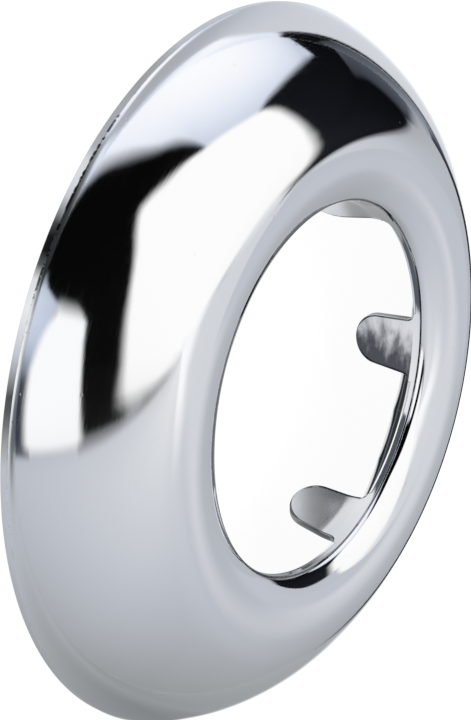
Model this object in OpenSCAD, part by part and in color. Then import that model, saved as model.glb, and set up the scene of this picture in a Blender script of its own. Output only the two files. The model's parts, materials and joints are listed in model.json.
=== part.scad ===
// Pipe rosette: a ring pressed from one sheet of metal. It covers the gap round a pipe where the
// pipe enters a wall. The ring lies on its rim at z = 0, and the pipe runs along the Z axis.
// Spring tongues hang from the collar into the hollow under the dome and grip the pipe.

/* [Ring] */
// Widest diameter of the ring, at the top of the rim band
outer_d = 65; // [60:0.5:80]
// Height of the crest above the wall
height = 11.8; // [10:0.1:14]
// Thickness of the sheet
sheet = 0.6; // [0.4:0.05:0.8]
// Radius of the crest's curve in section, on the outer face
crest_r = 7.5; // [6:0.1:8.5]
// Slope at which the crest's curve passes into the dome's, in degrees
crest_turn = 31; // [20:1:40]

/* [Rim] */
// Height of the trimmed band at the foot of the dome
band_h = 0.8; // [0.4:0.1:1.5]
// How far the band leans in at its foot
band_lean = 0.1; // [0:0.05:0.25]

/* [Collar] */
// Bore of the collar round the pipe
bore_d = 33.4; // [26:0.1:37]
// Distance from the bore to the crest
crest_inset = 4.3; // [3:0.1:5.5]
// Radius of the bend from the crest into the collar, on the outer face
lip_r = 1; // [0.9:0.1:2]
// Height of the straight collar between the tongues
collar_h = 0.6; // [0.3:0.1:1.5]

/* [Tongues] */
// Number of tongues round the collar
tongue_count = 6; // [3:1:8]
// Drop of a tongue below the collar's edge
tongue_l = 6; // [5:0.1:7]
// Width of a tongue at its root
root_w = 5.4; // [4.8:0.1:6.5]
// Radius of a tongue's round tip
tip_r = 2.35; // [1.8:0.05:2.4]
// Radius of the corner between a tongue and the collar's edge
corner_r = 0.8; // [0.4:0.1:1.2]
// Lean of a tongue's root, between the collar's edge and the bend, in degrees
root_lean = 1; // [0.5:0.5:3]
// Drop from the collar's edge to the bend
bend_drop = 1.5; // [0.5:0.1:2.5]
// Mean lean of the tongues towards the pipe below the bend, in degrees
lean = 7; // [6:0.5:10]
// How much more, and how much less, neighbouring tongues lean than that, in degrees
lean_swing = 6; // [0:0.5:6]

/* [Hidden] */
$fn = 144;

outer_r = outer_d / 2;
bore_r = bore_d / 2;

// The outer face in section is a dome arc, a crest arc and a lip arc, each tangent to the next.
// A slope is the angle of the face's normal from upright, below zero on the pipe's side.
crease = [outer_r, band_h];
crest_c = [bore_r + crest_inset, height - crest_r];
crest_n = [sin(crest_turn), cos(crest_turn)];
reach = crease - crest_c;
dome_r = (reach * reach + crest_r * crest_r - 2 * crest_r * reach * crest_n)
       / (2 * (crest_r - reach * crest_n));
dome_c = crest_c - (dome_r - crest_r) * crest_n;
rim_turn = atan2(crease.x - dome_c.x, crease.y - dome_c.y);
lip_run = crest_inset - lip_r;
lip_rise = sqrt(pow(crest_r - lip_r, 2) - pow(lip_run, 2));
lip_c = crest_c + [-lip_run, lip_rise];
lip_turn = atan2(-lip_run, lip_rise);

// The inner face keeps one sheet's thickness inside the outer face, down to the wall
inner_turn = acos(-dome_c.y / (dome_r - sheet));

collar_z = lip_c.y - collar_h;
bend_z = collar_z - bend_drop;
tip_z = collar_z - tongue_l;

// How far a tongue's root reaches up into the collar
root_lap = collar_h / 2;
// Angle past upright at which a root corner leaves the collar's edge, so that it crosses it cleanly
corner_start = 10;

// Straight steps in each arc of the section, and in each arc of a tongue's outline
section_steps = 20;
outline_steps = 10;

// Points of an arc, from one angle to another, both measured from upright
function arc(centre, radius, from, to, steps) =
    [for (i = [0 : steps])
        let (angle = from + (to - from) * i / steps)
        centre + radius * [sin(angle), cos(angle)]];

// Section of the ring, from the rim over the crest to the collar's edge
module ring_section() {
    n = section_steps;
    polygon(concat(
        [[outer_r - band_lean, 0]],
        arc(dome_c, dome_r, rim_turn, crest_turn, n),
        arc(crest_c, crest_r, crest_turn, lip_turn, n),
        arc(lip_c, lip_r, lip_turn, -90, n),
        [[bore_r, collar_z], [bore_r + sheet, collar_z]],
        arc(lip_c, lip_r - sheet, -90, lip_turn, n),
        arc(crest_c, crest_r - sheet, lip_turn, crest_turn, n),
        arc(dome_c, dome_r - sheet, crest_turn, inner_turn, n)
    ));
}

// Section of a tongue: straight down inside the collar, then leaning a little, then by an angle
module tongue_section(angle) {
    bend = [bore_r - bend_drop * tan(root_lean), bend_z];
    tip = bend - (bend_z - tip_z) * [tan(angle), 1];
    // the outer face's bend lies on the line that halves the angle between root and tongue
    half_turn = (angle - root_lean) / 2;
    outer_bend = bend + sheet / cos(half_turn) * [cos(root_lean + half_turn), -sin(root_lean + half_turn)];
    polygon([
        [bore_r, lip_c.y],
        [bore_r, collar_z],
        bend,
        tip,
        tip + [sheet / cos(angle), 0],
        outer_bend,
        [bore_r + sheet, collar_z],
        [bore_r + sheet, lip_c.y]
    ]);
}

// Outline of a tongue seen from the pipe: tip down, with the collar's edge at y = 0
module tongue_outline() {
    tip_c = [0, tip_r - tongue_l];
    // a side runs from the root's end, on the edge, to where it touches the tip's circle
    root_v = [root_w / 2, 0] - tip_c;
    side_turn = asin(tip_r / norm(root_v)) - atan2(root_v.x, root_v.y);
    // the round corner would touch the edge at x = corner_c.x, and it touches the side
    corner_c = [root_w / 2 + corner_r * (1 + sin(side_turn)) / cos(side_turn), -corner_r];
    half = concat(
        [[corner_c.x, root_lap]],
        arc(corner_c, corner_r, -corner_start, -90 - side_turn, outline_steps),
        arc(tip_c, tip_r, 90 - side_turn, 180, outline_steps)
    );
    polygon(concat(half, [for (i = [len(half) - 2 : -1 : 0]) [-half[i].x, half[i].y]]));
}

// One tongue, cut from its turned section by its outline, which stands at a turn round the pipe
module tongue(turn, angle)
    intersection() {
        rotate_extrude()
            tongue_section(angle);
        rotate(turn)
            translate([0, 0, collar_z])
                rotate([90, 0, 90])
                    linear_extrude(outer_r)
                        tongue_outline();
    }

module rosette()
    color("gainsboro") {
        rotate_extrude()
            ring_section();
        for (i = [0 : tongue_count - 1])
            tongue(360 / tongue_count * i, lean + lean_swing * (i % 2 == 0 ? -1 : 1));
    }

rosette();
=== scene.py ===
# %% [markdown]
# # Pipe rosette
#
# A pipe rosette is the shiny ring that hides the gap where a pipe goes into a wall. This one is
# pressed from a single thin sheet and plated. The lesson loads its CAD model as a fixed frame,
# and makes the same ring again as one fine, smooth mesh: a mirror shows each flat spot, so the
# CAD model's facets would spoil it. Then it gives the ring its plating, builds the studio that
# the plating mirrors, and places the camera.

# %% Load the frame
import json
import math

import bpy
import numpy as np
from mathutils import Matrix, Vector


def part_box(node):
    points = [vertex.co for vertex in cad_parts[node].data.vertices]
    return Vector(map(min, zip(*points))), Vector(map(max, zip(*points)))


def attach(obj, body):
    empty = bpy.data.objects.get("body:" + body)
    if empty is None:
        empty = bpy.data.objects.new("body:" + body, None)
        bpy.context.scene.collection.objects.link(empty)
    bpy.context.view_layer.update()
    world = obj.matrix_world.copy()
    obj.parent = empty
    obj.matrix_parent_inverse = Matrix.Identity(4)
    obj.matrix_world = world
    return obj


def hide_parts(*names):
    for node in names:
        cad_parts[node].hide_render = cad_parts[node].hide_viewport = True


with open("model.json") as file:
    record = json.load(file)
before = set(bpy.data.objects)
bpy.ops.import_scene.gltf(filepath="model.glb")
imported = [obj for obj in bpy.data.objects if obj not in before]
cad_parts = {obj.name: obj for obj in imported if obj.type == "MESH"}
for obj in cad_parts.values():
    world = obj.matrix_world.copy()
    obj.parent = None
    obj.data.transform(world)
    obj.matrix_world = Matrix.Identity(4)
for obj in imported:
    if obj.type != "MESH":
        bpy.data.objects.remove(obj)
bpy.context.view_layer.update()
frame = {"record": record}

# %% [markdown]
# ## Sizes
#
# All sizes are in millimetres, as on a maker's drawing, and become metres when a point is stored.
# What the frame knows is read from it: the width and the height from the CAD box, and the bore
# from the record. The rest repeats the drawing. The outer face in section is a dome arc, a crest
# arc and a lip arc, and each one starts in the direction in which the last one ends.

# %% The drawing's sizes
MM = 0.001
low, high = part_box("rosette")
OUTER_R = (high[0] - low[0]) / 2 / MM
HEIGHT = high[2] / MM
bore = next(m for m in frame["record"]["mounts"] if m["name"] == "pipe_bore")
BORE_R = bore["dims"]["r_mm"]

SHEET = 0.6
BAND_H, BAND_LEAN = 0.8, 0.1
CREST_R, CREST_TURN, CREST_INSET = 7.5, math.radians(31), 4.3
LIP_R, COLLAR_H = 1.0, 0.6
TONGUES, TONGUE_L, ROOT_W, TIP_R, CORNER_R = 6, 6.0, 5.4, 2.35, 0.8
ROOT_LEAN, BEND_DROP = math.radians(1), 1.5
LEANS = [math.radians(7 + 6 * (-1 if i % 2 == 0 else 1)) for i in range(TONGUES)]
PITCH = math.tau / TONGUES
print(f"ring {2 * OUTER_R:.1f} across, {HEIGHT:.1f} high, bore {2 * BORE_R:.1f}")

# %% [markdown]
# ## The section
#
# A press leaves no knife edges. So each cut edge of the sheet gets a tiny rounding, and so does
# the crease where the dome turns into the trimmed band. These roundings are a few hundredths of
# a millimetre up to a tenth, and they are what draws the fine bright lines along a chromed edge.

# %% Arcs of the section
EDGE = 0.05
CREASE_R = 0.4


def arc(centre, radius, start, end, steps):
    """Points of an arc, from one angle to another, both measured from upright."""
    turns = np.linspace(start, end, steps + 1)
    return [(centre[0] + radius * math.sin(t), centre[1] + radius * math.cos(t)) for t in turns]


crease = np.array([OUTER_R, BAND_H])
crest_c = np.array([BORE_R + CREST_INSET, HEIGHT - CREST_R])
crest_n = np.array([math.sin(CREST_TURN), math.cos(CREST_TURN)])
reach = crease - crest_c
dome_r = (reach @ reach + CREST_R**2 - 2 * CREST_R * reach @ crest_n) / (2 * (CREST_R - reach @ crest_n))
dome_c = crest_c - (dome_r - CREST_R) * crest_n
rim_turn = math.atan2(*(crease - dome_c))
lip_run = CREST_INSET - LIP_R
lip_rise = math.sqrt((CREST_R - LIP_R) ** 2 - lip_run**2)
lip_c = crest_c + (-lip_run, lip_rise)
lip_turn = math.atan2(-lip_run, lip_rise)
inner_turn = math.acos(-dome_c[1] / (dome_r - SHEET))
COLLAR_Z = lip_c[1] - COLLAR_H
print(f"dome radius {dome_r:.2f}, meets the band at {math.degrees(rim_turn):.1f} degrees")

# %% [markdown]
# The crease is rounded inside its own corner: the rounding's centre lies one radius inside both
# the dome and the band. It is found where the dome's arc, moved in by that radius, crosses the
# band's line, moved in by the same. A short search along the arc is enough.

# %% Rounded crease and section rows
band_turn = math.pi / 2 + math.atan2(BAND_LEAN, BAND_H)
band_n = np.array([math.sin(band_turn), math.cos(band_turn)])


def crease_centre():
    inside = crease @ band_n - CREASE_R
    turns = np.linspace(rim_turn - 0.1, rim_turn, 4001)
    spots = dome_c + (dome_r - CREASE_R) * np.stack([np.sin(turns), np.cos(turns)], 1)
    nearest = np.abs(spots @ band_n - inside).argmin()
    return spots[nearest], turns[nearest]


round_c, round_turn = crease_centre()
foot = np.array([OUTER_R - BAND_LEAN, 0.0])
foot_c = foot + (-EDGE, EDGE)

show = [(BORE_R, COLLAR_Z + EDGE), (BORE_R, COLLAR_Z + COLLAR_H / 2)]
show += arc(lip_c, LIP_R, -math.pi / 2, lip_turn, 18)
show += arc(crest_c, CREST_R, lip_turn, CREST_TURN, 34)[1:]
show += arc(dome_c, dome_r, CREST_TURN, round_turn, 34)[1:]
show += arc(round_c, CREASE_R, round_turn, band_turn, 5)[1:]
band_top, band_foot = np.array(show[-1]), foot_c + EDGE * band_n
show += [tuple(band_top + (band_foot - band_top) * k / 3) for k in (1, 2)]
show += arc(foot_c, EDGE, band_turn, math.pi, 3)

hidden = [(dome_c[0] + (dome_r - SHEET) * math.sin(inner_turn) + EDGE, 0.0)]
hidden += arc(dome_c, dome_r - SHEET, inner_turn - 0.004, CREST_TURN, 18)
hidden += arc(crest_c, CREST_R - SHEET, CREST_TURN, lip_turn, 16)[1:]
hidden += arc(lip_c, LIP_R - SHEET, lip_turn, -math.pi / 2, 8)[1:]
hidden += [(BORE_R + SHEET, COLLAR_Z + COLLAR_H / 2), (BORE_R + SHEET, COLLAR_Z + EDGE)]
print(f"{len(show)} rows on the outer face, {len(hidden)} on the inner face")

# %% [markdown]
# ## A tongue's outline
#
# Six spring tongues hang from the collar and grip the pipe. Each is a blade with a round tip, and
# a small round corner at each side of its root keeps it from tearing. The outline is sampled
# once, for the right half, together with the direction that points out of the sheet. The left
# half is its mirror image. With that direction each point can step in or out by the tiny rounding
# of the cut edge.

# %% Outline of half a tongue
tip_c = np.array([0, TONGUE_L - TIP_R])
root = np.array([ROOT_W / 2, 0]) - tip_c
side_turn = math.asin(TIP_R / math.hypot(*root)) - math.atan2(root[0], -root[1])
corner_c = np.array([ROOT_W / 2 + CORNER_R * (1 + math.sin(side_turn)) / math.cos(side_turn), CORNER_R])


def outline():
    """Points (across, down) and outward directions, from the root corner to the tip."""
    rows = []
    for t in np.linspace(0, -math.pi / 2 - side_turn, 10):
        out = np.array([-math.sin(t), math.cos(t)])
        rows.append((corner_c - CORNER_R * out, out))
    for t in np.linspace(math.pi / 2 - side_turn, math.pi, 14):
        out = np.array([math.sin(t), -math.cos(t)])
        rows.append((tip_c + TIP_R * out, out))
    straight = [(rows[9][0] + (rows[10][0] - rows[9][0]) * k / 8, rows[10][1]) for k in range(1, 8)]
    return rows[:10] + straight + rows[10:]


half = outline()
print(f"tongue outline of {len(half)} points, {2 * half[0][0][0]:.2f} wide at the collar's edge")

# %% [markdown]
# ## Bending a flat tongue into place
#
# The tongue is drawn flat and then bent, as the press does it. `place` takes a point on the flat
# sheet, across, down and into the sheet, and returns where it ends up. Below a soft bend the
# tongue leans towards the pipe. Every second tongue leans more, because on the real ring they
# were pushed in by hand and don't stand alike.

# %% Place a point of the flat tongue
BEND_SOFT = 0.35


def drift(down, lean):
    """How far the tongue has moved towards the pipe, and its lean there."""
    past = down - BEND_DROP
    if past <= -BEND_SOFT:
        bent, rate = 0.0, 0.0
    elif past >= BEND_SOFT:
        bent, rate = past, 1.0
    else:
        bent, rate = (past + BEND_SOFT) ** 2 / (4 * BEND_SOFT), (past + BEND_SOFT) / (2 * BEND_SOFT)
    if down <= 0:
        return 0.0, 0.0
    extra = math.tan(lean) - math.tan(ROOT_LEAN)
    return down * math.tan(ROOT_LEAN) + bent * extra, math.atan(math.tan(ROOT_LEAN) + rate * extra)


def place(tongue, across, down, deep):
    moved, lean = drift(down, LEANS[tongue])
    radius = BORE_R - moved
    turn = PITCH * tongue + math.asin(across / (radius + SHEET / 2))
    radius += deep * math.cos(lean)
    return (radius * math.cos(turn), radius * math.sin(turn), COLLAR_Z - down - deep * math.sin(lean))


# %% [markdown]
# ## One closed mesh
#
# The ring is one grid of quads, swept round the axis. Its columns are spaced so that a tongue's
# root has the same number of columns as the tongue itself, and the two can share points. Each
# tongue adds one small grid on its pipe side and one on its back, and a narrow strip closes the
# cut edge all the way round. Nothing is joined by a boolean, so the reflections run on smoothly
# from the dome into the tongues.

# %% Columns round the ring
TONGUE_COLUMNS, GAP_COLUMNS = 28, 44
ACROSS = np.linspace(-1, 1, TONGUE_COLUMNS + 1)
root_x = half[0][0][0]

columns = []
for i in range(TONGUES):
    columns += [PITCH * i + math.asin(t * root_x / (BORE_R + SHEET / 2)) for t in ACROSS]
    start, end = columns[-1], columns[-1 - TONGUE_COLUMNS] + PITCH
    columns += [start + (end - start) * k / GAP_COLUMNS for k in range(1, GAP_COLUMNS)]
COUNT = len(columns)
print(f"{COUNT} columns")

# %% Grid of the ring
points, faces, back, hang, burnt = [], [], [], [], []


def add_point(spot, is_back=0.0, hanging=0.0, dark_reflection_paint=0.0):
    points.append(spot)
    back.append(is_back)
    hang.append(hanging)
    burnt.append(dark_reflection_paint)
    return len(points) - 1


def join_rows(first, second, closed=False):
    """Quads between two rows of points; a corner that both rows share gives a triangle."""
    for k in range(len(first) if closed else len(first) - 1):
        n = (k + 1) % len(first)
        loop = [first[k], first[n], second[n], second[k]]
        faces.append(tuple(dict.fromkeys(loop)))


ring_rows = []
for number, (radius, z) in enumerate(show + hidden):
    on_back = 1.0 if number >= len(show) else 0.0
    ring_rows.append([add_point((radius * math.cos(c), radius * math.sin(c), z), on_back) for c in columns])
for first, second in zip(ring_rows, ring_rows[1:]):
    join_rows(first, second, closed=True)
print(f"ring: {len(points)} points, {len(faces)} faces")

# %% Grids of the tongues
lengths = np.cumsum([0] + [math.dist(a[0], b[0]) for a, b in zip(half, half[1:])])
MIDDLE = -EDGE + TONGUE_L * lengths / lengths[-1]
PERIOD = TONGUE_COLUMNS + GAP_COLUMNS
# Painted dark reflections: how strongly each tongue's plating colour is darkened to stand in for the dark hollow it
# mirrors
PAINTED_DARK_REFLECTION_SIDES = (0.3, 0.0, 1.0, 0.0, 0.5, 0.0)


def painted_dark_reflection_at(tongue, across, down):
    """How dark the plating is painted, as a painted dark reflection: stronger towards one side and the tip of some
    tongues.
    """
    return PAINTED_DARK_REFLECTION_SIDES[tongue] * (0.5 - across / ROOT_W + 0.25 * down / TONGUE_L)


def tongue_face(tongue, deep, top_row):
    """Grid of one side of a tongue, below the ring's row; returns its rows."""
    rows = [top_row]
    for (spot, out), middle in list(zip(half, MIDDLE))[1:-1]:
        side_x, side_v = spot - EDGE * out
        row = [(t * side_x, middle + (side_v - middle) * t * t) for t in ACROSS]
        rows.append([add_point(place(tongue, x, v, deep), float(deep > 0), v / TONGUE_L,
                               painted_dark_reflection_at(tongue, x, v)) for x, v in row])
    tip = add_point(place(tongue, 0, TONGUE_L - EDGE, deep), float(deep > 0), 1.0, painted_dark_reflection_at(tongue, 0, TONGUE_L))
    rows.append([tip] * len(ACROSS))
    return rows


front_rows, back_rows = [], []
for i in range(TONGUES):
    here = slice(PERIOD * i, PERIOD * i + TONGUE_COLUMNS + 1)
    front_rows.append(tongue_face(i, 0.0, ring_rows[0][here]))
    back_rows.append(tongue_face(i, SHEET, ring_rows[-1][here]))
for rows in front_rows:
    for first, second in zip(rows, rows[1:]):
        join_rows(second, first)
for rows in back_rows:
    for first, second in zip(rows, rows[1:]):
        join_rows(first, second)
print(f"with tongues: {len(points)} points, {len(faces)} faces")

# %% [markdown]
# The cut edge runs round every tongue and along the collar between them as one closed loop. At
# each of its stations there is a point on the pipe side and one on the back. The strip between
# them rounds over, crosses the sheet, and rounds over again.

# %% Strip along the cut edge
STRIP = [(-EDGE + EDGE * math.sin(a), EDGE * (1 - math.cos(a))) for a in np.radians([30, 60, 90])]
STRIP = STRIP + [(step, SHEET - deep) for step, deep in reversed(STRIP)]


def edge_station(tongue, side, row):
    """Front point, strip points and back point where the edge meets a row of a tongue."""
    spot, out = half[row]
    column = -1 if side > 0 else 0
    strip = []
    for step, deep in STRIP:
        x, v = spot + step * out
        strip.append(add_point(place(tongue, side * x, v, deep), 0.5, max(v, 0) / TONGUE_L))
    return [front_rows[tongue][row][column], *strip, back_rows[tongue][row][column]]


def gap_station(number):
    """The same where the edge runs along the collar."""
    turn = columns[number]
    strip = []
    for step, deep in STRIP:
        radius = BORE_R + deep
        strip.append(add_point((radius * math.cos(turn), radius * math.sin(turn), COLLAR_Z - step), 0.5))
    return [ring_rows[0][number], *strip, ring_rows[-1][number]]


stations = []
for i in range(TONGUES):
    stations += [edge_station(i, -1, row) for row in range(len(half))]
    stations += [edge_station(i, 1, row) for row in range(len(half) - 2, -1, -1)]
    stations += [gap_station(PERIOD * i + TONGUE_COLUMNS + k) for k in range(1, GAP_COLUMNS)]
for first, second in zip(stations, stations[1:] + stations[:1]):
    join_rows(second, first)

# %% Mesh object
ring_mesh = bpy.data.meshes.new("pressed_ring")
ring_mesh.from_pydata([[c * MM for c in p] for p in points], [], faces)
for name, values in (("back_side", back), ("hanging", hang), ("burnt", burnt)):
    ring_mesh.attributes.new(name, "FLOAT", "POINT").data.foreach_set("value", values)
ring_mesh.update()
ring_mesh.validate()
ring_mesh.shade_smooth()
ring = bpy.data.objects.new("pressed_ring", ring_mesh)
bpy.context.scene.collection.objects.link(ring)


def open_edges(mesh):
    """Edges that don't have exactly two faces, and the volume that the faces enclose."""
    seen, volume = {}, 0.0
    for face in mesh.polygons:
        for key in face.edge_keys:
            seen[key] = seen.get(key, 0) + 1
        volume += face.center.dot(face.normal) * face.area / 3
    return sum(1 for count in seen.values() if count != 2), volume


loose, volume = open_edges(ring_mesh)
if volume < 0:
    ring_mesh.flip_normals()
triangles = sum(len(face.vertices) - 2 for face in ring_mesh.polygons)
print(f"pressed ring: {triangles} triangles, {loose} open edges, {abs(volume) * 1e9:.1f} cubic mm")

# %% [markdown]
# ## Shader helper
#
# A material is a net of small nodes. Written as sums and products it is easier to read, so a
# small class wraps a socket and turns each operator into its Math node. Any other node comes
# from one method, which takes the node's type, its settings and its inputs.

# %% Sockets that can be added and multiplied
class Value:
    def __init__(self, net, socket):
        self.net, self.socket = net, socket

    def math(self, operation, *others, flip=False):
        inputs = [self, *others]
        if flip:
            inputs.reverse()
        return self.net.node("ShaderNodeMath", {"operation": operation}, dict(enumerate(inputs)))

    def __add__(self, other): return self.math("ADD", other)
    def __radd__(self, other): return self.math("ADD", other, flip=True)
    def __sub__(self, other): return self.math("SUBTRACT", other)
    def __rsub__(self, other): return self.math("SUBTRACT", other, flip=True)
    def __mul__(self, other): return self.math("MULTIPLY", other)
    def __rmul__(self, other): return self.math("MULTIPLY", other, flip=True)
    def __truediv__(self, other): return self.math("DIVIDE", other)

    def between(self, start, end):
        """0 below start, 1 above end, and a smooth ramp between them."""
        settings = {"interpolation_type": "SMOOTHSTEP"}
        return self.net.node("ShaderNodeMapRange", settings, {"Value": self, "From Min": start, "From Max": end})


class Net:
    def __init__(self, name):
        self.material = bpy.data.materials.new(name)
        self.material.use_nodes = True
        self.tree = self.material.node_tree
        self.tree.nodes.clear()

    def node(self, kind, settings=None, inputs=None, output=0):
        made = self.tree.nodes.new(kind)
        for name, value in (settings or {}).items():
            setattr(made, name, value)
        for key, value in (inputs or {}).items():
            if isinstance(value, Value):
                self.tree.links.new(value.socket, made.inputs[key])
            else:
                made.inputs[key].default_value = value
        return Value(self, made.outputs[output])

    def attribute(self, name):
        return self.node("ShaderNodeAttribute", {"attribute_name": name}, output="Fac")

    def finish(self, shader):
        self.node_output = self.tree.nodes.new("ShaderNodeOutputMaterial")
        self.tree.links.new(shader.socket, self.node_output.inputs["Surface"])
        return self.material


# %% [markdown]
# ## Chrome plating
#
# Chrome is a metal that mirrors about four fifths of the light, a little more of the blue. On
# the outer face it is polished nearly to a mirror, so what gives it life is small: fine drawn
# lines from the buffing wheel that feather the reflections, a few specks, and a row of tiny
# nicks where the dome was trimmed. The back and the tongues were never buffed, so they are
# duller. All of this comes from the point's place on the ring, so it stays put when the ring
# turns.

# %% Chrome material
chrome = Net("chrome_plate")
spot = chrome.node("ShaderNodeTexCoord", output="Object")
x, y, z = (chrome.node("ShaderNodeSeparateXYZ", {}, {0: spot}, output=k) for k in range(3))
turn = y.math("ARCTAN2", x)
radius = (x * x + y * y).math("SQRT")
back_side = chrome.attribute("back_side")
hanging = chrome.attribute("hanging")
dull = (back_side + hanging.between(-0.05, 0.25)).math("MINIMUM", 1.0)


def lines(around, outward, detail):
    """Noise stretched along the ring: many cycles outward, few around."""
    place_on_ring = chrome.node("ShaderNodeCombineXYZ", {}, {
        0: turn.math("COSINE") * around, 1: turn.math("SINE") * around, 2: (radius - z) * outward})
    return chrome.node("ShaderNodeTexNoise", {}, {
        "Vector": place_on_ring, "Scale": 1.0, "Detail": detail, "Roughness": 0.6})


buffing = lines(9.0, 9000.0, 3.0)
specks = chrome.node("ShaderNodeTexNoise", {}, {
    "Vector": spot, "Scale": 900.0, "Detail": 1.0, "Roughness": 0.5}).between(0.76, 0.82)
scratches = chrome.node("ShaderNodeTexNoise", {}, {
    "Vector": spot, "Scale": 500.0, "Detail": 4.0, "Roughness": 0.65})

# %% Nicks along the crease
at_crease = (z - (BAND_H - 0.02) * MM).math("ABSOLUTE").between(0.16 * MM, 0.08 * MM)
bites = chrome.node("ShaderNodeTexNoise", {}, {
    "Vector": chrome.node("ShaderNodeCombineXYZ", {}, {
        0: turn.math("COSINE") * 42.0, 1: turn.math("SINE") * 42.0, 2: z * 500.0}),
    "Scale": 1.0, "Detail": 2.0, "Roughness": 0.6})
worn_stretch = turn.between(-2.1, -1.9) * turn.between(-1.36, -1.5)
nicks = bites.between(0.5, 0.56) * at_crease * (worn_stretch * 0.9 + 0.1) * (1 - back_side)

# %% Painted dark reflections on the tongues
painted_dark_reflection_side = chrome.attribute("burnt")
dark_reflection_patches = chrome.node("ShaderNodeTexNoise", {}, {
    "Vector": chrome.node("ShaderNodeCombineXYZ", {}, {
        0: turn.math("COSINE") * 8.0, 1: turn.math("SINE") * 8.0, 2: z * 1100.0}),
    "Scale": 1.0, "Detail": 3.0, "Roughness": 0.55})
dark_reflection_paint = (painted_dark_reflection_side + (dark_reflection_patches - 0.5) * 1.2 * painted_dark_reflection_side.between(0.0, 0.2)).between(0.15, 0.9)

# %% Put the chrome together
outer_dome = radius.between(23 * MM, 29 * MM) * (1 - back_side)
streaks = buffing.between(0.48, 0.72) * outer_dome
fine = buffing * 0.25 + scratches * dull * 0.5 - specks * 1.0
fine_bump = chrome.node("ShaderNodeBump", {}, {"Strength": 0.06, "Distance": 0.00005, "Height": fine})
bump = chrome.node("ShaderNodeBump", {}, {
    "Strength": 0.25, "Distance": 0.00002, "Height": 1 - nicks, "Normal": fine_bump})
plate_tint = chrome.node("ShaderNodeMix", {"data_type": "RGBA"}, {
    "Factor": dull * 0.5 + specks * 0.3, "A": (0.80, 0.81, 0.83, 1), "B": (0.72, 0.73, 0.75, 1)}, output=2)
# The tongues' painted dark reflections and the nicks both darken the plating's colour here
tint = chrome.node("ShaderNodeMix", {"data_type": "RGBA"}, {
    "Factor": (dark_reflection_paint * 0.93).math("MAXIMUM", nicks * 0.9), "A": plate_tint, "B": (0.03, 0.035, 0.05, 1)}, output=2)
plated = chrome.node("ShaderNodeBsdfPrincipled", {}, {
    "Base Color": tint,
    "Metallic": 1.0,
    "Roughness": 0.03 + streaks * 0.05 + dull * 0.08 + scratches * dull * 0.08 + nicks * 0.1,
    "Normal": bump,
})
ring_mesh.materials.append(chrome.finish(plated))
print("chrome net has", len(chrome.tree.nodes), "nodes")

# %% Hang the ring on the frame
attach(ring, "root")
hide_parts("rosette")

# %% [markdown]
# ## The studio
#
# Polished chrome has no look of its own: it shows the room. In the photo the room is a light
# tent: a wide white ceiling, a window-shaped softbox, a bluish softbox, a grey wall, and black
# card between them that draws the dark shapes on the dome. Each of these is a patch of a large
# sphere round the ring. A patch is described by stations: at each compass angle, its lower and
# upper edge above the horizon and the brightness at both. Its borders fade out softly. The
# patches are hidden from the camera, and light the ring as softboxes do.

# %% Brightness and soft borders
CAMERA_SIDE = -80.45
SOFT = (0.0, 0.16, 0.5, 0.84, 1.0)
REFLECTS = 0.81


def radiance(level):
    """Light that chrome shows as a level from 0 to 255 in the picture."""
    part = level / 255
    return (part / 12.92 if part < 0.04 else ((part + 0.055) / 1.055) ** 2.4) / REFLECTS


# level, red and blue: how far a card's colour is from white, which changes with its brightness
CLEAR = ((0, 1.0, 1.0),)
WHITE = ((0, 1.012, 0.976),)
WALL = ((155, 0.955, 1.02), (190, 0.966, 1.078), (214, 0.98, 1.03), (228, 0.992, 1.004))
SHADE = ((20, 0.93, 1.35), (90, 0.88, 1.2), (160, 0.93, 1.12))
BOX = ((205, 0.92, 1.16), (235, 0.965, 1.08), (249, 1.0, 1.01))
GLOW = ((150, 0.88, 1.2), (205, 0.915, 1.17), (230, 0.96, 1.08))
WINDOW = ((200, 0.98, 1.02), (250, 1.0, 0.985))


def tinted(level, tint):
    at, red, blue = zip(*tint)
    glow = radiance(level)
    return glow * np.interp(level, at, red), glow, glow * np.interp(level, at, blue), 1.0


def spread(start, end, soft_start, soft_end, inner):
    """Positions from start to end with fading borders, and how opaque each one is."""
    at = [start + soft_start * s for s in SOFT]
    at += list(np.linspace(start + soft_start, end - soft_end, inner + 2)[1:-1])
    at += [end - soft_end * s for s in reversed(SOFT)]
    shown = [s * s * (3 - 2 * s) for s in SOFT] + [1.0] * inner
    return at, shown + [s * s * (3 - 2 * s) for s in reversed(SOFT)]


card_net = Net("studio_card")
glow = card_net.node("ShaderNodeEmission", {}, {
    "Color": card_net.node("ShaderNodeAttribute", {"attribute_name": "light"}, output="Color"), "Strength": 1.0})
clear = card_net.node("ShaderNodeBsdfTransparent")
card_material = card_net.finish(card_net.node("ShaderNodeMixShader", {}, {
    0: card_net.attribute("shown"), 1: clear, 2: glow}))

# %% A card from its stations


def on_sphere(distance):
    """Where a compass angle and a rise above the horizon lie on a sphere in metres."""
    def find(turn, rise):
        lift = math.radians(min(rise, 90))
        flat = distance * math.cos(lift)
        return flat * math.cos(turn), flat * math.sin(turn), distance * math.sin(lift)
    return find


def on_floor(height):
    """Where a compass angle and a radius in millimetres lie on the floor."""
    def find(turn, radius):
        return radius * MM * math.cos(turn), radius * MM * math.sin(turn), height * MM
    return find


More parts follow.
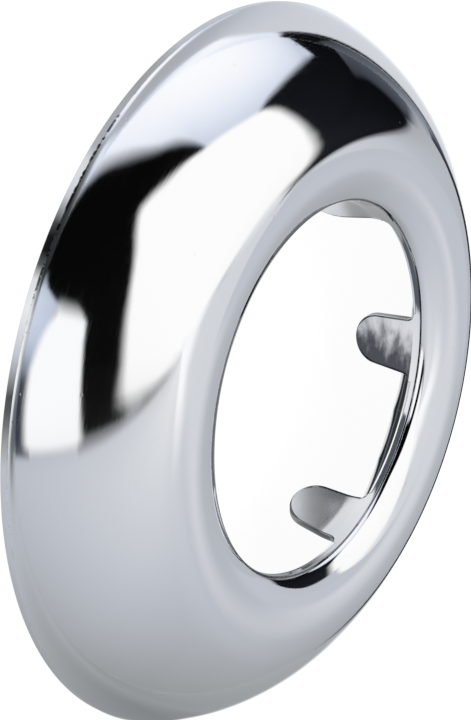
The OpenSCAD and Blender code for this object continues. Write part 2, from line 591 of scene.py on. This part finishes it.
def card(name, find, stations, tint=CLEAR, ends=(2, 2), fades=(1, 1), curve=1.0, rows=8):
    """A patch from stations: angle, lower edge, upper edge, level below, level above, and their fades."""
    table = np.array([(*row, *fades) if len(row) == 5 else row for row in stations], dtype=float)
    angles, shown_across = spread(table[0, 0], table[-1, 0], *ends, 2 * len(stations) + 20)
    spots, light, shown = [], [], []
    for angle, across in zip(angles, shown_across):
        low_edge, high_edge, level_low, level_high, fade_low, fade_high = (
            np.interp(angle, table[:, 0], table[:, c]) for c in range(1, 7))
        heights, shown_up = spread(low_edge, high_edge, fade_low, fade_high, rows)
        for rise, up in zip(heights, shown_up):
            spots.append(find(math.radians(angle + CAMERA_SIDE), rise))
            share = max((rise - low_edge) / max(high_edge - low_edge, 1e-6), 0) ** curve
            light.append(tinted(level_low + (level_high - level_low) * share, tint))
            shown.append(across * up)
    step = rows + 2 * len(SOFT)
    quads = [(k, k + 1, k + 1 + step, k + step) for k in range(len(spots) - step) if k % step < step - 1]
    mesh = bpy.data.meshes.new(name)
    mesh.from_pydata(spots, [], quads)
    mesh.attributes.new("light", "FLOAT_COLOR", "POINT").data.foreach_set("color", np.ravel(light))
    mesh.attributes.new("shown", "FLOAT", "POINT").data.foreach_set("value", shown)
    mesh.materials.append(card_material)
    made = bpy.data.objects.new(name, mesh)
    bpy.context.scene.collection.objects.link(made)
    made.visible_camera = False
    made.visible_shadow = False
    return made


# %% [markdown]
# The grey wall is the farthest card, the black card stands in front of it, the softboxes in
# front of that, and the ceiling is the nearest. Angles start at the camera's side and run
# anticlockwise, seen from above.

# %% Wall and black cards
card("grey_wall", on_sphere(2.8), [
    (35, -3.5, 90, 176, 206), (44, -3.5, 90, 190, 214), (52, -3.5, 90, 188, 220), (62, -3.5, 90, 184, 226),
    (80, -3.5, 90, 175, 230), (98, -3.5, 90, 166, 231), (114, -3.5, 90, 155, 231), (126, -3.5, 90, 149, 231),
    (140, -3.5, 90, 151, 231), (155, -3.5, 90, 159, 228), (166, -3.5, 90, 160, 222), (176, -3.5, 90, 170, 212),
    (186, -3.5, 90, 178, 204), (196, -3.5, 90, 180, 202), (204, -3.5, 90, 166, 204), (212, -3.5, 90, 150, 210)],
    tint=WALL, ends=(4, 1), fades=(0.5, 0.01), rows=14)
card("side_glow", on_sphere(2.72), [
    (158, 22, 84, 210, 214), (180, 22, 84, 210, 214), (203, 22, 84, 210, 214)],
    tint=WALL, ends=(16, 6), fades=(20, 14))
card("tent_top", on_sphere(2.75), [
    (-232, 62, 90, 240, 250, 22, 0.01), (-205, 60, 90, 244, 250, 20, 0.01), (-180, 60, 90, 246, 250, 20, 0.01),
    (-162, 60, 90, 246, 250, 20, 0.01), (-140, 66, 90, 236, 246, 16, 0.01), (-20, 66, 90, 230, 242, 16, 0.01),
    (20, 66, 90, 206, 222, 10, 0.01), (48, 66, 90, 202, 214, 10, 0.01)],
    ends=(18, 4), rows=10)
card("middle_black", on_sphere(2.7), [
    (-84, 26, 42, 8, 7), (-74, 22, 42, 7, 7), (-62, 4, 42, 6, 7), (-52, -3.5, 42, 6, 7),
    (-30, -3.5, 50, 6, 7), (-10, -3.5, 56, 6, 10), (5, -3.5, 60, 6, 11), (24, -3.5, 62, 6, 14)],
    ends=(2, 2), fades=(0.5, 3), rows=12)
card("upper_black", on_sphere(2.68), [
    (10, 31, 70, 10, 20), (24, 32, 70, 12, 24), (36, 33, 70, 16, 40), (44, 33, 70, 20, 60)],
    ends=(3, 10), fades=(1, 15))
card("ceiling_seam", on_sphere(2.66), [
    (22, 58, 86, 110, 206), (36, 58, 86, 110, 204), (44, 58, 86, 150, 208)],
    ends=(4, 6), fades=(12, 6))
card("left_black", on_sphere(2.7), [
    (-167, 38, 46, 12, 34, 7, 3), (-162, 31, 46, 12, 34, 12, 3), (-160.6, 26, 48, 12, 34, 14, 3),
    (-158.8, 20, 49, 12, 34, 15, 3), (-157, 14, 50, 11, 34, 15, 3), (-155.4, 8, 50, 10, 34, 14, 3),
    (-153.6, 1, 50, 10, 34, 11, 3), (-152.3, 4.6, 50, 10, 34, 4, 3),
    (-150, 5.1, 50, 10, 34, 3.2, 3), (-141, 5.3, 50, 10, 33, 3.2, 3), (-137, 7.4, 49, 10, 31, 4, 3),
    (-135.5, 4, 48, 10, 30, 4, 3), (-133.5, -3.5, 46, 9, 29, 2, 3), (-120, -3.5, 42, 9, 26, 0.5, 3),
    (-110, 12, 38, 9, 24, 2, 2), (-100, 24, 36, 9, 22, 2, 2)],
    tint=SHADE, ends=(6, 1), rows=12)
card("near_panel", on_sphere(0.15), [
    (-180, 12, 52, 192, 194), (-168, 12, 50, 192, 194), (-164, 14, 49, 190, 192), (-161.5, 24, 48, 190, 192),
    (-159.5, 34, 48, 190, 192), (-156.5, 40, 48, 190, 194), (-153, 45, 48, 190, 194)],
    tint=WALL, ends=(6, 1.5), fades=(4, 2))
card("left_grey_patch", on_sphere(2.75), [
    (-157, -3.5, 9, 150, 130), (-153, -3.5, 9, 100, 66), (-150, -3.5, 10, 93, 54), (-142, -3.5, 11, 90, 50),
    (-137, -3.5, 13, 88, 44), (-132, -3.5, 12, 100, 44)],
    tint=SHADE, ends=(4, 1), fades=(0.5, 2))

# %% Softboxes
card("blue_softbox", on_sphere(2.6), [
    (-125.6, 6, 8.4, 205, 205, 2, 2), (-124, 4.2, 9.6, 205, 205, 2, 3), (-122, 0.6, 12.3, 206, 210, 2.5, 5),
    (-120.6, -2.5, 13.8, 206, 212, 2, 5), (-119, -3.5, 15.6, 220, 214, 0.5, 5), (-115, -3.5, 19.7, 233, 214, 0.5, 5),
    (-109, -3.5, 25.7, 242, 212, 0.5, 5), (-104, -3.5, 29.8, 247, 208, 0.5, 4), (-98, -3.5, 36, 250, 200, 0.5, 1.5),
    (-90, -3.5, 38, 251, 202, 0.5, 1.5), (-82, -3.5, 38, 251, 202, 0.5, 1.5), (-76, -3.5, 37, 250, 200, 0.5, 3),
    (-73, -3.5, 34, 249, 202, 0.5, 5), (-70, -3.5, 31.6, 248, 212, 0.5, 7), (-67, -3.5, 29, 247, 220, 0.5, 8),
    (-61, -3.5, 24.6, 245, 222, 0.5, 7.5), (-58, -3.5, 23.2, 244, 224, 0.5, 11), (-55, -3.5, 20.7, 242, 226, 0.5, 14),
    (-49, -3.5, 14.2, 240, 228, 0.5, 16), (-46, -3.5, 9.4, 234, 226, 0.5, 12), (-43, -3.5, 5.8, 222, 222, 0.5, 8),
    (-38, -3.5, 2.4, 205, 205, 0.5, 4.5), (-30, -3.5, 1, 60, 60, 0.5, 3)],
    tint=BOX, ends=(2, 3), curve=2.6, rows=12)
card("window_sill", on_sphere(2.64), [
    (6, -3.5, 8, 190, 190), (14, -3.5, 8, 120, 110), (20, -3.5, 8, 66, 70), (28, -3.5, 8, 44, 70), (36, -3.5, 8, 54, 74),
    (39, -3.5, 8, 80, 100), (42, -3.5, 8, 150, 150)],
    tint=SHADE, ends=(4, 3), fades=(0.5, 0.5))
card("window_glow", on_sphere(2.62), [
    (-13, -3.5, 2.2, 200, 190, 0.5, 2), (-9.5, -3.5, 3.2, 212, 190, 0.5, 2), (-8, -3.5, 5.2, 214, 190, 0.5, 3),
    (-6, -3.5, 10.5, 217, 188, 0.5, 5), (-4, -3.5, 16, 219, 188, 0.5, 6), (2, -3.5, 14, 217, 196, 0.5, 4), (7, -3.5, 11, 206, 196, 0.5, 3),
    (11, -3.5, 9, 176, 190, 0.5, 2), (15, -3.5, 8, 130, 160, 0.5, 2), (20, -3.5, 7, 90, 120, 0.5, 2)],
    tint=GLOW, ends=(6, 5))
card("window_softbox", on_sphere(2.5), [
    (-7.4, 10, 24, 246, 246, 3, 4), (-5, 10, 27, 247, 247, 3, 4), (-3, 10.4, 30, 249, 249, 4, 4),
    (-1.5, 10, 31.2, 250, 249, 4.5, 3), (0, 9.2, 31.2, 250, 250, 4.5, 2.4), (2, 7.6, 31.8, 250, 250, 4.5, 2.6),
    (5, 5.8, 32.4, 250, 250, 4.5, 2.8), (10, 4, 33.6, 250, 250, 4.5, 2.8), (15, 2.3, 34.4, 250, 250, 4.5, 2.6),
    (20, 2, 35.2, 250, 250, 4.5, 2.8), (26, 2, 35.9, 250, 249, 4.5, 2.8), (31, 2.1, 37, 249, 248, 4.8, 4),
    (36, 2.4, 38, 246, 245, 5, 5), (41, 3, 37, 240, 238, 5.5, 5)],
    tint=WINDOW, ends=(7, 5.2), rows=10)
card("ceiling", on_sphere(2.4), [
    (-167, 42, 60, 244, 246, 4.8, 12), (-158, 40.9, 65, 247, 248, 4.8, 12), (-155, 40.5, 72, 248, 250, 4.8, 12),
    (-151, 40.2, 82, 249, 250, 4.8, 12), (-147, 39.8, 87, 250, 251, 4.7, 10), (-143, 39.5, 90, 250, 251, 4.6, 6), (-139, 39.1, 90, 251, 251, 4.6, 6), (-133, 37.2, 90, 251, 252, 5.8, 6),
    (-127, 35.5, 90, 252, 252, 5.8, 5), (-121, 33.7, 90, 252, 252, 4.8, 5), (-115, 31.6, 90, 252, 252, 4.7, 5),
    (-109, 29.4, 90, 252, 252, 4.4, 5), (-103, 29.8, 90, 252, 252, 2.4, 5), (-97, 31.5, 90, 252, 252, 2.4, 5),
    (-91, 32.6, 90, 252, 252, 2.4, 5), (-85, 33.4, 90, 252, 252, 2.2, 5), (-79, 33.6, 90, 252, 252, 2.6, 5),
    (-73, 34.2, 90, 252, 252, 2.2, 5), (-67, 33.4, 90, 252, 252, 2.4, 5), (-61, 32.4, 90, 252, 252, 4, 5),
    (-55, 31.6, 90, 252, 252, 4.6, 5), (-49, 30.4, 90, 252, 252, 4.5, 5), (-43, 29.4, 90, 252, 252, 4.7, 5),
    (-40, 30.1, 90, 252, 252, 4.9, 5), (-37, 32, 90, 252, 252, 6, 5), (-34, 34, 90, 252, 252, 7, 5),
    (-31, 37, 90, 252, 252, 6.6, 5), (-28, 39.6, 90, 252, 252, 5, 5), (-25, 41.5, 90, 252, 252, 5, 6),
    (-19, 44.2, 90, 251, 252, 4.6, 6), (-13, 45.9, 90, 251, 252, 5.6, 5), (-7, 47.4, 90, 251, 252, 6, 6),
    (-1, 48.7, 90, 250, 252, 6.8, 8), (5, 50, 90, 250, 251, 7, 9), (11, 51.2, 90, 248, 251, 6.8, 10),
    (18, 51, 90, 246, 249, 8, 12), (25, 50.4, 88, 244, 247, 10, 14), (36, 50, 82, 240, 244, 12, 14)],
    tint=WHITE, ends=(14, 14), rows=12)

# %% [markdown]
# The ring also mirrors what it lies on: near the horizon the dome shows the floor. In the photo
# that was a small grey sheet. Past its edge the dark gap and then the feet of the black card and
# of the softboxes show, and behind the ring lies a white strip. They are laid here as thin cards
# on the floor, which only mirror rays see.

# %% Sheets on the floor
floor_cards = [
    card("grey_sheet", on_floor(0.005), [
        (-182, 32.1, 2150, 214, 206), (-172, 32.1, 2150, 206, 196), (-125, 32.1, 2150, 207, 207), (-90, 32.1, 2150, 203, 206),
        (-76, 32.1, 2150, 194, 206), (-66, 32.1, 2150, 178, 200), (-52, 32.1, 2150, 170, 200), (-40, 32.1, 2150, 180, 190),
        (-33, 32.1, 2150, 150, 60), (-22, 32.1, 2150, 50, 34), (-9, 32.1, 2150, 44, 100), (-4, 32.1, 2150, 150, 206),
        (3, 32.1, 2150, 200, 206), (12, 32.1, 2150, 156, 165), (18, 32.1, 2150, 110, 110), (28, 32.1, 2150, 104, 60),
        (34, 32.1, 2150, 150, 80), (39, 32.1, 2150, 180, 150), (46, 32.1, 2150, 187, 190), (60, 32.1, 2150, 180, 185),
        (76, 32.1, 2150, 174, 181), (92, 32.1, 2150, 165, 174), (108, 32.1, 2150, 152, 162), (120, 32.1, 2150, 149, 153),
        (140, 32.1, 2150, 157, 157), (164, 32.1, 2150, 169, 166), (172, 32.1, 2150, 174, 160), (178, 32.1, 2150, 214, 206)],
        tint=WALL, ends=(0.01, 0.01), fades=(0.5, 20), rows=12),
    card("patch_foot", on_floor(0.008), [
        (-163, 118, 2150, 176, 150), (-155, 106, 2150, 160, 130), (-148, 104, 2150, 128, 90), (-140, 102, 2150, 96, 85),
        (-132, 100, 2150, 88, 60), (-126, 98, 2150, 70, 40), (-118, 94, 2150, 40, 30)],
        tint=SHADE, ends=(3, 2), fades=(10, 20)),
    card("black_foot", on_floor(0.011), [
        (-133, 1100, 2150, 14, 14, 700, 20), (-129, 420, 2150, 14, 14, 300, 20), (-125, 150, 2150, 14, 14, 80, 20),
        (-121, 90, 2150, 14, 14, 12, 20), (-112, 90, 2150, 14, 14, 12, 20), (-106, 92, 2150, 14, 14, 12, 20)],
        ends=(2, 1)),
    card("box_foot", on_floor(0.014), [
        (-124, 1300, 2150, 200, 225, 500, 20), (-119, 500, 2150, 220, 238, 300, 20), (-114, 200, 2150, 226, 242, 100, 20),
        (-110, 112, 2150, 228, 244, 40, 20), (-106, 86, 2150, 228, 246, 26, 20), (-100, 76, 2150, 232, 248, 24, 20),
        (-92, 64, 2150, 238, 250, 22, 20), (-84, 54, 2150, 246, 251, 14, 20), (-77, 48, 2150, 246, 250, 8, 20),
        (-71, 47, 2150, 236, 240, 12, 20), (-64, 52, 2150, 214, 226, 24, 20), (-57, 70, 2150, 200, 214, 40, 20),
        (-50, 70, 2150, 204, 216, 60, 20), (-44, 54, 2150, 226, 226, 40, 20), (-38, 46, 2150, 228, 150, 14, 20),
        (-31, 46, 2150, 160, 70, 14, 20)],
        tint=BOX, ends=(4, 4), rows=12),
    card("dark_gap", on_floor(0.017), [
        (-178, 600, 2140, 160, 160, 400, 100), (-170, 240, 1500, 130, 130, 160, 800), (-164, 140, 420, 120, 130, 60, 240),
        (-158, 98, 170, 100, 110, 24, 50), (-152, 84, 120, 60, 70, 14, 20), (-144, 80, 112, 40, 50, 12, 14),
        (-134, 76, 108, 30, 40, 12, 12), (-124, 69, 104, 24, 24, 12, 10), (-116, 66, 104, 24, 24, 14, 12),
        (-109, 72, 112, 60, 60, 16, 20), (-103, 76, 104, 150, 150, 12, 14)],
        tint=SHADE, ends=(8, 4)),
    card("rim_shade", on_floor(0.02), [
        (24, 33, 50, 196, 196, 0.5, 10), (32, 33, 60, 190, 190, 0.5, 20), (44, 33, 70, 182, 184, 0.5, 36),
        (60, 33, 84, 166, 174, 0.5, 50), (76, 33, 90, 150, 166, 0.5, 55), (92, 33, 95, 134, 156, 0.5, 60),
        (101, 33, 90, 127, 150, 0.5, 56), (110, 33, 80, 134, 148, 0.5, 46), (118, 33, 70, 144, 148, 0.5, 36)],
        tint=WALL, ends=(4, 6)),
    card("left_crescent", on_floor(0.023), [
        (-70, 33.5, 34.6, 200, 200, 0.3, 0.8), (-60, 33.5, 36.2, 228, 215, 0.3, 2), (-52, 33.5, 38.2, 246, 246, 0.3, 2),
        (-44, 33.5, 41.5, 248, 248, 0.4, 3), (-37, 33.6, 47, 236, 230, 0.4, 7), (-28, 33.6, 40, 190, 150, 0.4, 5)],
        tint=BOX, ends=(4, 4)),
    card("right_crescent", on_floor(0.023), [
        (-7, 33.4, 46, 170, 170, 0.3, 6), (0, 33.4, 62, 230, 226, 0.3, 14), (6, 33.5, 64, 240, 226, 0.3, 16),
        (12, 33.7, 62, 248, 224, 0.4, 14), (18, 33.8, 55, 232, 212, 0.4, 10), (24, 33.8, 50, 206, 200, 0.4, 9),
        (32, 33.8, 48, 192, 190, 0.4, 8)],
        tint=WINDOW, ends=(4, 6)),
    card("window_foot", on_floor(0.014), [
        (12, 60, 2150, 156, 165, 12, 20), (17, 56, 2150, 120, 124, 10, 20), (22, 50, 2150, 106, 76, 12, 20),
        (28, 50, 2150, 104, 54, 16, 20), (33, 74, 2150, 108, 70, 40, 20), (38, 130, 2150, 130, 120, 80, 20)],
        tint=SHADE, ends=(3, 3)),
    card("white_strip", on_floor(0.026), [
        (100, 32.1, 33.4, 240, 240, 0.2, 1), (108, 32.1, 36, 246, 240, 0.2, 2.4), (116, 32.1, 38, 250, 244, 0.2, 4),
        (124, 32.1, 41.5, 250, 244, 0.2, 6), (132, 32.1, 46, 250, 244, 0.2, 9), (140, 32.1, 52, 250, 246, 0.2, 13),
        (148, 32.1, 60, 250, 246, 0.2, 17), (156, 32.1, 80, 251, 246, 0.2, 32), (164, 32.1, 130, 252, 246, 0.2, 74),
        (172, 32.1, 300, 253, 246, 0.2, 220), (180, 32.1, 1700, 254, 236, 0.2, 1300), (188, 32.1, 1300, 254, 240, 0.2, 1120),
        (196, 32.1, 190, 254, 240, 0.2, 110), (204, 32.1, 88, 254, 246, 0.2, 30), (212, 32.1, 64, 253, 246, 0.2, 20),
        (220, 32.1, 55, 253, 246, 0.2, 17), (228, 32.1, 48, 252, 244, 0.2, 12), (236, 32.1, 44, 246, 236, 0.2, 9),
        (244, 32.1, 41, 244, 230, 0.2, 7), (252, 32.1, 38.5, 242, 226, 0.2, 5), (262, 32.1, 36, 232, 216, 0.2, 3.4),
        (272, 32.1, 34.5, 222, 212, 0.2, 2), (282, 32.1, 33.6, 212, 206, 0.2, 1)],
        tint=BOX, ends=(2, 6), rows=10),
    card("rim_line", on_floor(0.029), [
        (-90, 32, 33.4, 200, 212), (-60, 32, 33.3, 190, 190), (-51, 32, 33.3, 186, 190), (-45, 32, 33.3, 160, 168),
        (-40, 32, 33.3, 150, 168), (-35, 32, 33.3, 166, 172), (-27, 32, 33.3, 172, 174), (-24, 32, 33.4, 220, 226),
        (-20, 32, 33.4, 212, 218), (-17, 32, 33.4, 190, 200), (-14, 32, 33.3, 100, 60), (-12, 32, 33.3, 40, 14),
        (-9, 32, 33.3, 30, 18), (-7.5, 32, 33.3, 60, 60), (-5, 32, 33.4, 216, 226), (0, 32, 33.4, 232, 236),
        (4, 32, 33.5, 210, 214), (7, 32, 33.6, 192, 198), (10, 32, 33.6, 152, 150), (13, 32, 33.7, 80, 60),
        (16, 32, 33.7, 100, 100), (19, 32, 33.6, 148, 150), (23, 32, 33.6, 190, 192), (30, 32, 33.5, 182, 192),
        (39, 32, 33.4, 176, 186), (46, 32, 33.3, 166, 176), (55, 32, 33.2, 158, 168), (66, 32, 33.2, 150, 156),
        (76, 32, 33.2, 152, 156), (84, 32, 33.2, 200, 190), (100, 32, 33, 240, 230)],
        tint=WALL, ends=(4, 4), fades=(0.05, 0.2)),
    # Painted light: the patch of floor lit through the bore is laid as a bright sheet that only mirror rays see
    card("under_bore", on_floor(0.01), [
        (-180, 0.5, 17, 236, 200), (-150, 0.5, 19, 236, 205), (-130, 0.5, 24, 236, 215), (-110, 0.5, 21, 236, 205),
        (-80, 0.5, 17, 236, 190), (0, 0.5, 17, 236, 190), (90, 0.5, 17, 236, 190), (180, 0.5, 17, 236, 200)],
        tint=WALL, ends=(0.01, 0.01), fades=(0.1, 3), rows=10),
    # Painted shade: the floor in the hollow under the dome is laid as a dark sheet that only mirror rays see, darkest
    # towards the foot
    card("under_dome", on_floor(0.003), [
        (-180, 12, 32.1, 150, 14), (-130, 12, 32.1, 160, 20), (-100, 12, 32.1, 150, 90), (-70, 12, 32.1, 130, 90),
        (-50, 12, 32.1, 20, 12), (0, 12, 32.1, 8, 10), (50, 12, 32.1, 8, 10), (85, 12, 32.1, 14, 20),
        (130, 12, 32.1, 150, 20), (180, 12, 32.1, 150, 14)],
        ends=(0.01, 0.01), fades=(0.1, 0.1), curve=8.0, rows=30),
    card("foot_line", on_floor(0.006), [
        (120, 31.5, 31.8, 130, 130), (180, 31.5, 31.8, 100, 100), (230, 31.5, 31.8, 150, 150)],
        tint=BOX, ends=(8, 8), fades=(0.1, 0.1)),
    card("bore_shade", on_floor(0.0125), [
        (-165, 0.4, 7, 82, 82), (-128, 0.4, 7, 82, 82), (-95, 0.4, 12.5, 82, 82), (-67, 0.4, 13.5, 82, 82),
        (-42, 0.4, 12, 82, 82), (-14, 0.4, 11, 82, 82), (-2, 0.4, 10, 82, 82)],
        tint=SHADE, ends=(12, 10), fades=(0.2, 1.5)),
    card("bore_shade_left", on_floor(0.0125), [
        (98, 12, 18, 90, 90), (126, 9, 18, 90, 90), (150, 9, 20, 90, 90), (168, 11, 20, 90, 90), (182, 13, 20, 90, 90)],
        tint=SHADE, ends=(6, 8), fades=(1.2, 1.2)),
    card("far_line", on_floor(0.0275), [
        (158, 110, 400, 90, 90), (168, 100, 900, 50, 50), (176, 90, 1500, 40, 40), (190, 90, 1500, 40, 40),
        (198, 90, 700, 40, 40), (205, 90, 240, 60, 60), (212, 84, 130, 90, 90)],
        tint=SHADE, ends=(8, 6), fades=(14, 60)),
]
for floor_card in floor_cards:
    floor_card.visible_diffuse = False

# %% [markdown]
# ## Floor and background
#
# The floor is a pale sheet under the ring. It takes a little of its light as a soft shadow, and
# the rest of its white is its own for camera, mirror and glass rays, so that the picture's
# ground is white without more light on the ring. The world does the same behind it.

# %% Floor
FLOOR_HALF = 2.2
floor_mesh = bpy.data.meshes.new("floor")
corners = [(FLOOR_HALF * a, FLOOR_HALF * b, 0) for a, b in ((-1, -1), (1, -1), (1, 1), (-1, 1))]
floor_mesh.from_pydata(corners, [], [(0, 1, 2, 3)])
floor = bpy.data.objects.new("floor", floor_mesh)
bpy.context.scene.collection.objects.link(floor)
floor_net = Net("white_floor")


def plain_rays(net):
    """1 for camera, mirror and glass rays, and 0 for the rest."""
    path = [net.node("ShaderNodeLightPath", output=name) for name in
            ("Is Camera Ray", "Is Glossy Ray", "Is Transmission Ray")]
    return (path[0] + path[1] + path[2]).math("MINIMUM", 1.0)


paper = floor_net.node("ShaderNodeBsdfDiffuse", {}, {"Color": (0.1, 0.1, 0.1, 1)})
own_white = floor_net.node("ShaderNodeEmission", {}, {
    "Color": (1, 1, 1, 1), "Strength": plain_rays(floor_net) * 0.95})
floor_mesh.materials.append(floor_net.finish(floor_net.node("ShaderNodeAddShader", {}, {0: paper, 1: own_white})))

# %% World
world = bpy.data.worlds.new("tent")
bpy.context.scene.world = world
world.use_nodes = True
world.node_tree.nodes.clear()


class WorldNet(Net):
    def __init__(self, tree):
        self.tree = tree


sky = WorldNet(world.node_tree)
light = sky.node("ShaderNodeBackground", {}, {
    "Color": (1, 1, 1, 1), "Strength": plain_rays(sky) * 0.6 + 0.4})
out = sky.tree.nodes.new("ShaderNodeOutputWorld")
sky.tree.links.new(light.socket, out.inputs["Surface"])

# %% [markdown]
# ## Camera
#
# The photo looks down on the ring at about 31 degrees above the wall plane, from ten ring radii
# away, and the picture is turned by about a right angle. First the camera looks at the ring's
# centre, then it rolls, and at last it turns a little so that the centre lands on its pixel.

# %% Camera
PHOTO_W, PHOTO_H = 471, 720
CENTRE_PIXEL = (224.4, 364.1)
FOCAL_PIXELS = 3666.0
DISTANCE, ELEVATION, ROLL = 324 * MM, math.radians(31.39), math.radians(104.86)

side = math.radians(CAMERA_SIDE)
eye = DISTANCE * Vector((math.cos(ELEVATION) * math.cos(side), math.cos(ELEVATION) * math.sin(side), math.sin(ELEVATION)))
ahead = -eye.normalized()
right = ahead.cross(Vector((0, 0, 1))).normalized()
up = right.cross(ahead)
picture_x = math.cos(ROLL) * right + math.sin(ROLL) * up
picture_up = -math.sin(ROLL) * right + math.cos(ROLL) * up
pose = Matrix((picture_x, picture_up, -ahead)).transposed()
to_centre = Vector(((CENTRE_PIXEL[0] - PHOTO_W / 2) / FOCAL_PIXELS, -(CENTRE_PIXEL[1] - PHOTO_H / 2) / FOCAL_PIXELS, -1))
turn_to = to_centre.normalized().rotation_difference(Vector((0, 0, -1)))

camera_data = bpy.data.cameras.new("camera")
camera_data.sensor_fit = "VERTICAL"
camera_data.sensor_height = 36.0
camera_data.sensor_width = 36.0
camera_data.lens = 36.0 * FOCAL_PIXELS / PHOTO_H
camera_data.clip_start, camera_data.clip_end = 0.01, 10.0
camera = bpy.data.objects.new("camera", camera_data)
camera.matrix_world = Matrix.Translation(eye) @ (pose @ turn_to.to_matrix()).to_4x4()
bpy.context.scene.collection.objects.link(camera)
bpy.context.scene.camera = camera
bpy.context.scene.view_settings.view_transform = "Standard"
print(f"lens {camera_data.lens:.1f} mm at {eye.length * 1000:.0f} mm")
